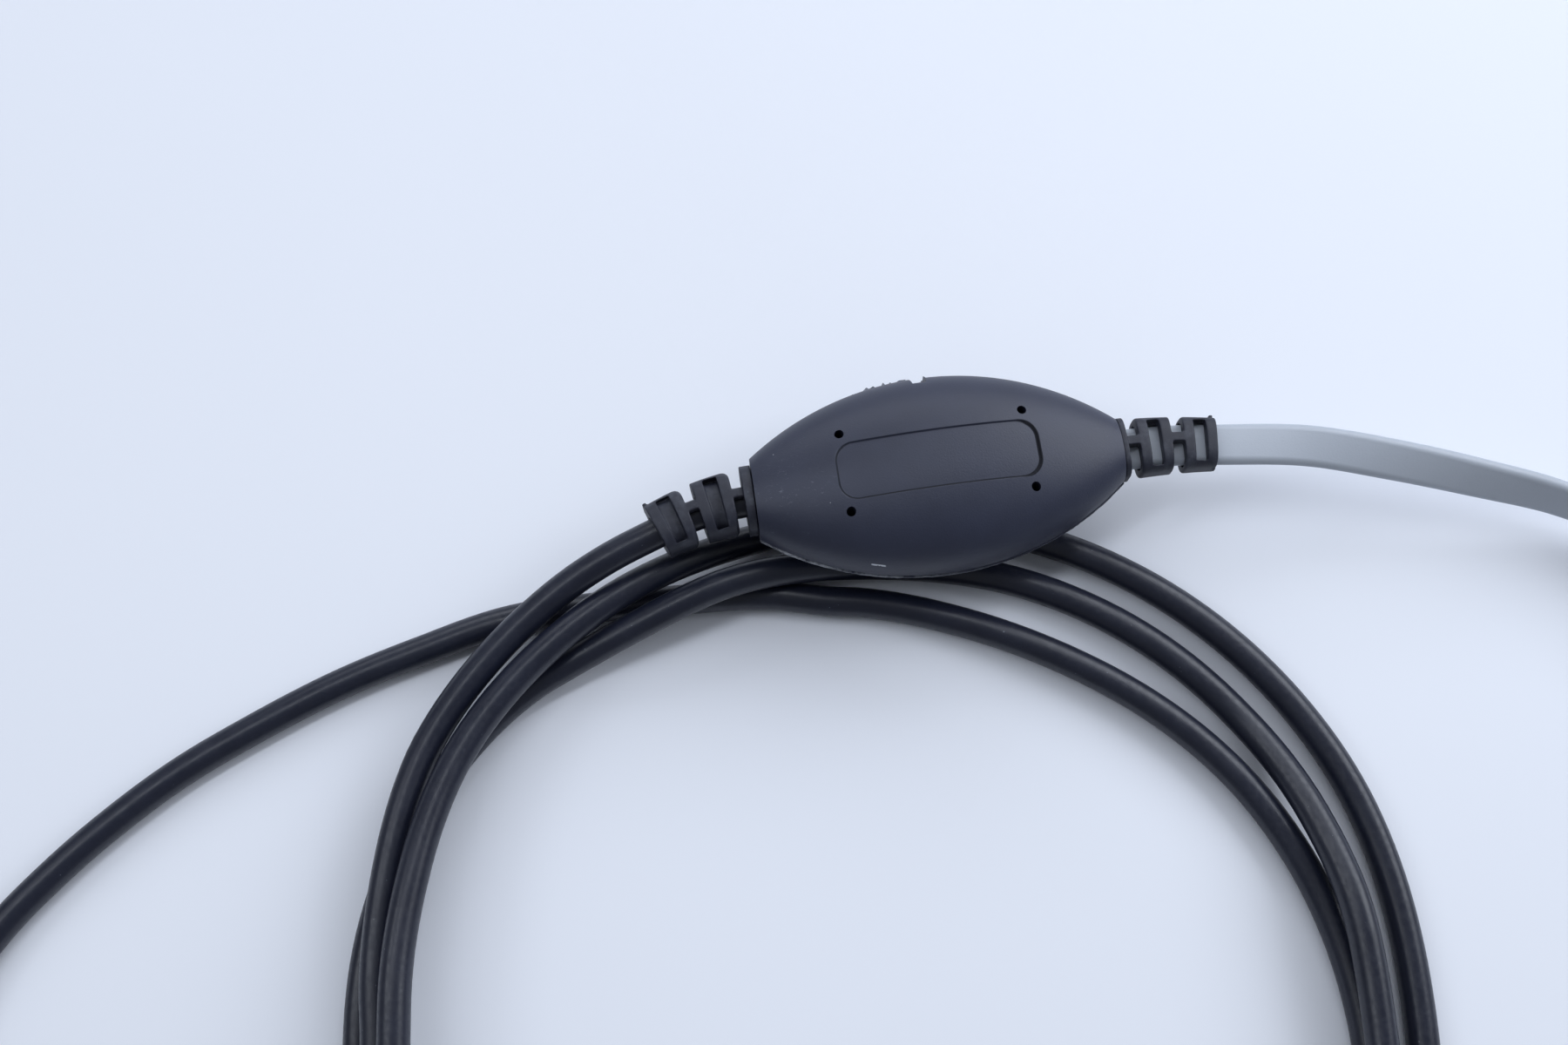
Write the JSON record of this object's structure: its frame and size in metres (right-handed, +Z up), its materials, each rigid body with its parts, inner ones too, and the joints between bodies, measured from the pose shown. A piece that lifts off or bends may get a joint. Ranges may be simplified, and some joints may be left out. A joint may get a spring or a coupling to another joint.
{
  "type": "in-line cable pod",
  "caption": "Lens-shaped moulded pod that joins a loosely coiled round cord to a flat cord, with slotted strain reliefs, a locking round plug and a latching modular plug.",
  "frame": {"origin": "the middle of the pod, halfway along it and on the seam between its two shells", "axes": "+X runs along the pod from the round cord to the flat cord, +Y to the back, +Z up out of the table that the coil lies on"},
  "size_m": [0.3074, 0.188, 0.0237],
  "materials": {
    "pod_plastic": "satin grey-black moulded plastic, fine grain",
    "relief_rubber": "matt black flexible moulding",
    "round_cord_jacket": "satin black jacket, slightly dusty",
    "flat_cord_jacket": "satin silver-grey jacket",
    "board_laminate": "green laminate",
    "component_black": "matt black",
    "capacitor_sleeve": "dark blue sleeve",
    "wire_insulation": "coloured insulation",
    "grip_steel": "plain steel",
    "clear_plastic": "clear moulded plastic",
    "contact_gold": "gold-plated",
    "plug_steel": "nickel-plated",
    "insulator_plastic": "matt black"
  },
  "bodies": {
    "pod": {"upper_shell": "pod_plastic", "lower_shell": "pod_plastic", "round_cord_relief": "relief_rubber", "flat_cord_relief": "relief_rubber", "round_plug_boot": "relief_rubber", "round_cord_lead": "round_cord_jacket", "round_cord_coil": "round_cord_jacket", "round_cord_tail": "round_cord_jacket", "flat_cord": "flat_cord_jacket", "circuit_board": "board_laminate", "chip": "component_black", "resistor_1": "component_black", "resistor_2": "component_black", "resistor_3": "component_black", "capacitor": "capacitor_sleeve", "round_cord_wire_1": "wire_insulation", "round_cord_wire_2": "wire_insulation", "round_cord_wire_3": "wire_insulation", "round_cord_wire_4": "wire_insulation", "flat_cord_wire_1": "wire_insulation", "flat_cord_wire_2": "wire_insulation", "flat_cord_wire_3": "wire_insulation", "flat_cord_wire_4": "wire_insulation", "round_plug_wire_1": "wire_insulation", "round_plug_wire_2": "wire_insulation", "round_plug_wire_3": "wire_insulation", "round_plug_wire_4": "wire_insulation", "round_cord_crimp": "grip_steel", "flat_cord_clamp": "grip_steel", "modular_plug_body": "clear_plastic", "modular_plug_clamp_bar": "clear_plastic", "modular_plug_contact_1": "contact_gold", "modular_plug_contact_2": "contact_gold", "modular_plug_contact_3": "contact_gold", "modular_plug_contact_4": "contact_gold", "round_plug_pin_1": "contact_gold", "round_plug_pin_2": "contact_gold", "round_plug_pin_3": "contact_gold", "round_plug_pin_4": "contact_gold", "round_plug_barrel": "plug_steel", "round_plug_clip": "plug_steel", "round_plug_insulator": "insulator_plastic"},
    "latch": {"modular_plug_latch": "clear_plastic"},
    "locking_ring": {"round_plug_ring": "plug_steel"}
  },
  "joints": [
    {"name": "latch_hinge", "type": "hinge", "parent": "pod", "child": "latch", "pos_m": [0.1271, -0.0786, -0.00877], "axis": [0, 0, 1], "range_deg": [0, 10], "stiffness_Nm_per_rad": 0.05},
    {"name": "ring_turn", "type": "hinge", "parent": "pod", "child": "locking_ring", "pos_m": [-0.17, -0.1448, -0.0063], "axis": [0, -1, 0], "continuous": true}
  ]
}
